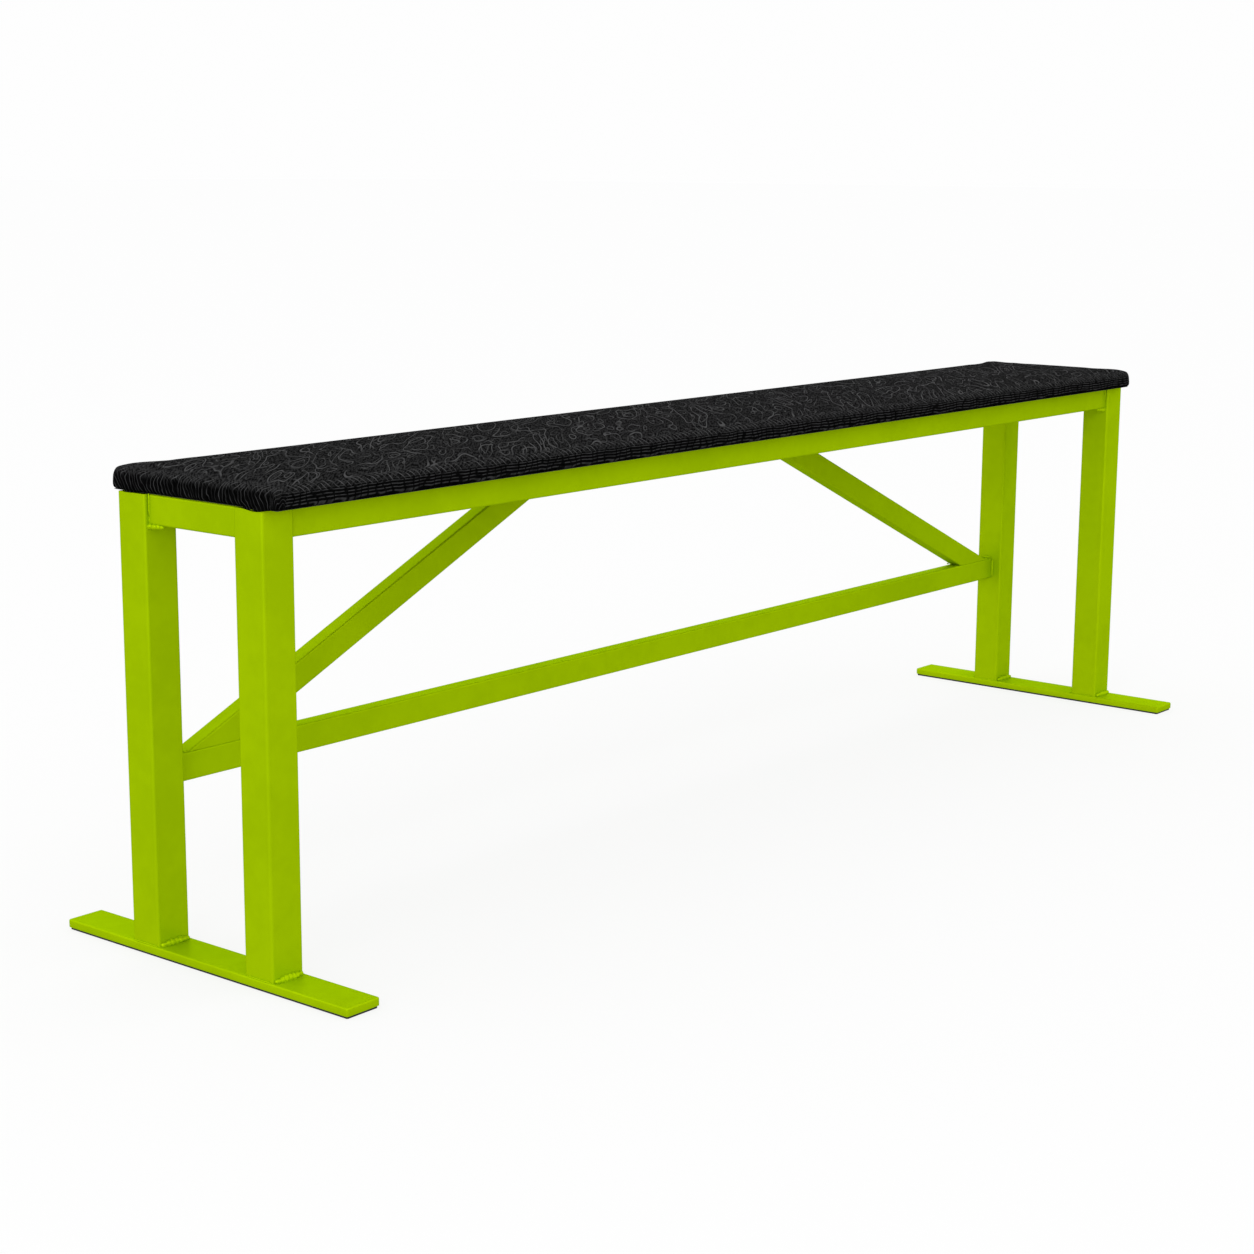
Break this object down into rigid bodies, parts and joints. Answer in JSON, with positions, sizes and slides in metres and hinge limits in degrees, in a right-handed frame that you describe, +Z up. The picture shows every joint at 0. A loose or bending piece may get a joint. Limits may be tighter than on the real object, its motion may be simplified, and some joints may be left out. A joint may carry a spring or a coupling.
{
  "type": "bench",
  "caption": "Backless counter-height bench: square-tube steel frame on flat foot bars, with a rear stretcher, diagonal braces and a long, thin padded fabric seat.",
  "frame": {"origin": "centre of the footprint, on the floor", "axes": "+X along the bench, +Y to the rear, where the stretcher and braces are, +Z up"},
  "size_m": [2.1342, 0.526, 0.6275],
  "materials": {
    "green_powder_coat": "lime-green semi-gloss powder coat",
    "black_rubber": "matt black rubber strip",
    "seat_fabric": "black woven outdoor fabric with thin grey contour lines",
    "seat_foam": "cream open-cell foam",
    "plywood": "birch plywood, unfinished",
    "dust_cloth": "thin black non-woven cloth",
    "zinc_steel": "bright zinc-plated steel"
  },
  "bodies": {
    "root": {"leg_front_left": "green_powder_coat", "leg_front_right": "green_powder_coat", "leg_rear_left": "green_powder_coat", "leg_rear_right": "green_powder_coat", "foot_bar_left": "green_powder_coat", "foot_bar_right": "green_powder_coat", "foot_strip_left": "black_rubber", "foot_strip_right": "black_rubber", "rail_front": "green_powder_coat", "rail_rear": "green_powder_coat", "rail_left": "green_powder_coat", "rail_right": "green_powder_coat", "stretcher": "green_powder_coat", "brace_left": "green_powder_coat", "brace_right": "green_powder_coat", "seat_strap_1": "green_powder_coat", "seat_strap_2": "green_powder_coat", "seat_strap_3": "green_powder_coat", "seat_strap_4": "green_powder_coat", "foot_welds": "green_powder_coat", "rail_welds": "green_powder_coat", "stretcher_welds": "green_powder_coat", "brace_welds": "green_powder_coat", "strap_welds": "green_powder_coat", "seat_board": "plywood", "seat_foam": "seat_foam", "seat_cover": "seat_fabric", "dust_cloth": "dust_cloth", "t_nuts": "zinc_steel", "seat_screws": "zinc_steel", "seat_washers": "zinc_steel", "staples": "zinc_steel"}
  },
  "joints": []
}
